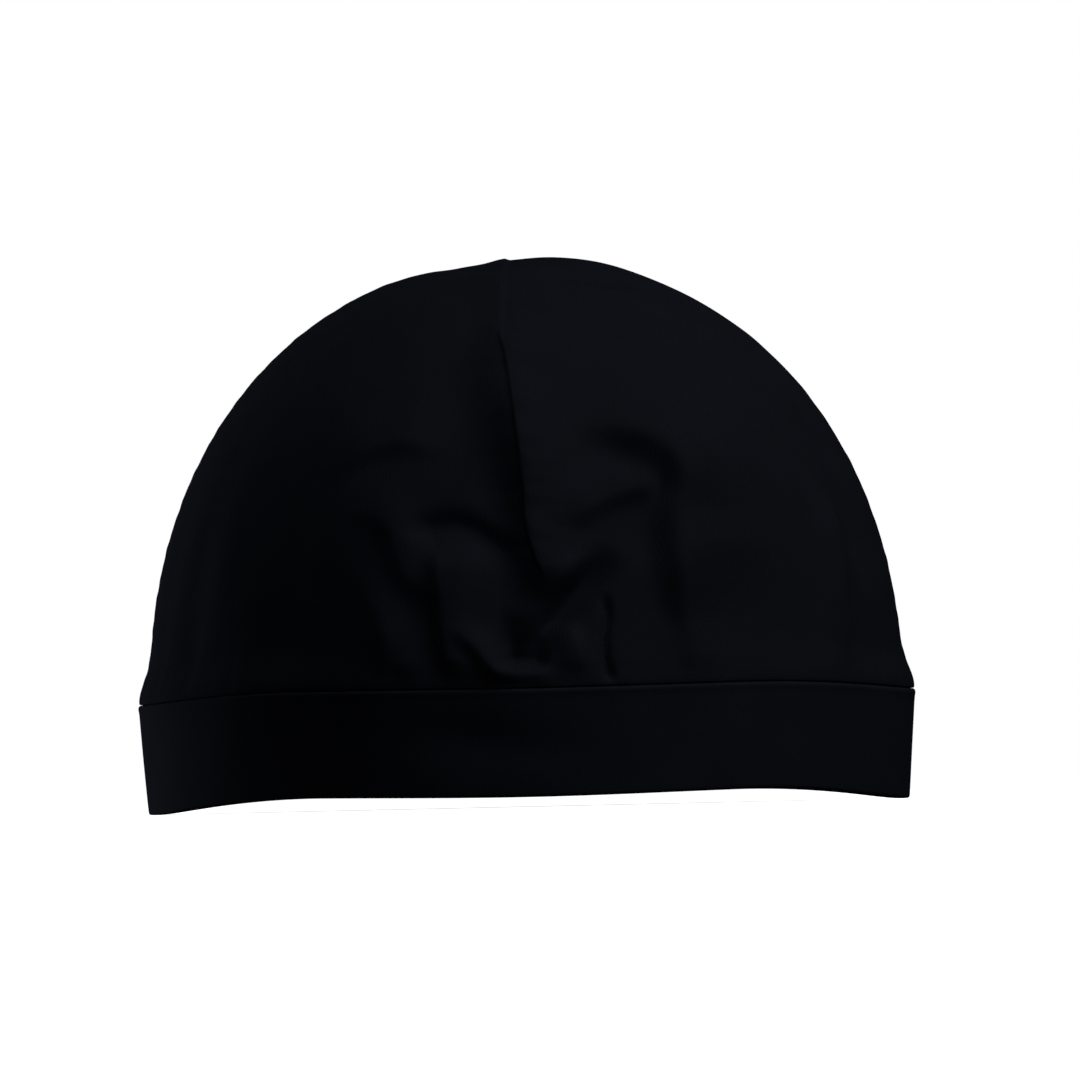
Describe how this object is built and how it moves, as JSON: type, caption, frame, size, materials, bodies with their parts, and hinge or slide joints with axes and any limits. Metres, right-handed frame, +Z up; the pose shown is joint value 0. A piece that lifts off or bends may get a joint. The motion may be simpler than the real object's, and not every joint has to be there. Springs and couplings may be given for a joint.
{
  "type": "docker beanie",
  "caption": "Plain close-fitting docker beanie: a rounded two-panel jersey crown with a dart at its front and a folded band sewn round the rim, standing on its rim.",
  "frame": {"origin": "on the surface that the cap stands on, under the centre of its bounding box", "axes": "+Z up towards the top of the crown, -Y towards the front, where the dart shows, +X to the right as seen from the front"},
  "size_m": [0.1718, 0.2002, 0.1213],
  "materials": {
    "crown_jersey": "matt black fine-gauge cotton jersey, single knit, slightly brushed",
    "band_jersey": "matt black fine-gauge cotton jersey, doubled and folded"
  },
  "bodies": {
    "root": {"crown_front": "crown_jersey", "crown_back": "crown_jersey", "band": "band_jersey"}
  },
  "joints": []
}
